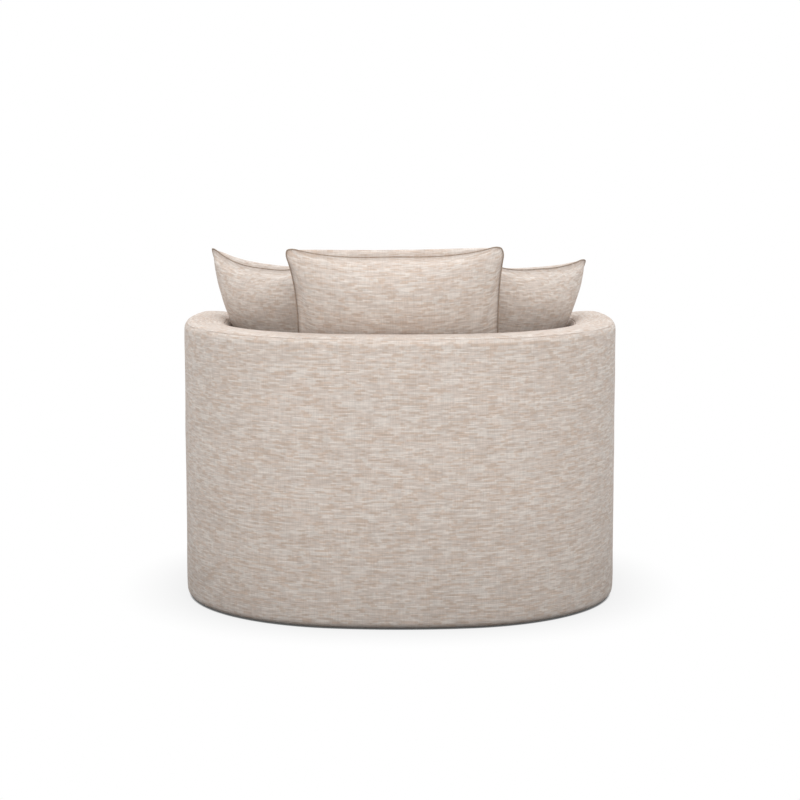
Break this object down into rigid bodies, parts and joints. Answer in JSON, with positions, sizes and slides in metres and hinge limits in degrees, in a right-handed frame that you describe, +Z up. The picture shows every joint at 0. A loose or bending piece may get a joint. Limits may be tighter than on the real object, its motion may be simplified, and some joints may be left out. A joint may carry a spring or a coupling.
{
  "type": "round lounge chair",
  "caption": "Round upholstered tub lounge chair to the floor with a level padded rim, a deep loose seat cushion and plump loose pillows leaning on the back and arms.",
  "frame": {"origin": "floor level under the middle of the chair's plan", "axes": "+Z up, -Y towards the open front, +Y towards the back, X across the arms"},
  "size_m": [1.17, 1.14, 0.9448],
  "materials": {
    "slub_weave": "oatmeal slub weave",
    "foam": "cut polyurethane foam",
    "wadding": "polyester wadding",
    "board": "smooth board",
    "plywood": "raw plywood",
    "webbing": "elastic webbing",
    "dust_cloth": "non-woven dust cloth",
    "pad_rubber": "matt rubber"
  },
  "bodies": {
    "tub": {"arm_noses": "foam", "back_foam": "foam", "back_posts": "plywood", "base_ring": "plywood", "base_stretchers": "plywood", "corner_blocks": "plywood", "deck_pad": "wadding", "dust_cover": "dust_cloth", "floor_pads": "pad_rubber", "front_cover": "slub_weave", "front_panel": "board", "front_posts": "plywood", "front_wadding": "wadding", "inside_cover": "slub_weave", "lining_panel": "board", "outer_panel": "board", "outside_cover": "slub_weave", "outside_wadding": "wadding", "rim_cover": "slub_weave", "rim_foam": "foam", "seat_ring": "plywood", "seat_webbing": "webbing", "top_rail": "plywood"},
    "seat": {"seat_cushion": "slub_weave"},
    "center": {"center_pillow": "slub_weave"},
    "left": {"left_pillow": "slub_weave"},
    "right": {"right_pillow": "slub_weave"}
  },
  "joints": [
    {"name": "seat_lift", "type": "slide", "parent": "tub", "child": "seat", "axis": [0, 0, 1], "range_m": [0, 0.5]},
    {"name": "center_lift", "type": "slide", "parent": "seat", "child": "center", "axis": [0, 0.2588, 0.9659], "range_m": [0, 0.45]},
    {"name": "left_lift", "type": "slide", "parent": "seat", "child": "left", "axis": [0, 0, 1], "range_m": [0, 0.45]},
    {"name": "right_lift", "type": "slide", "parent": "seat", "child": "right", "axis": [0, 0, 1], "range_m": [0, 0.45]}
  ]
}
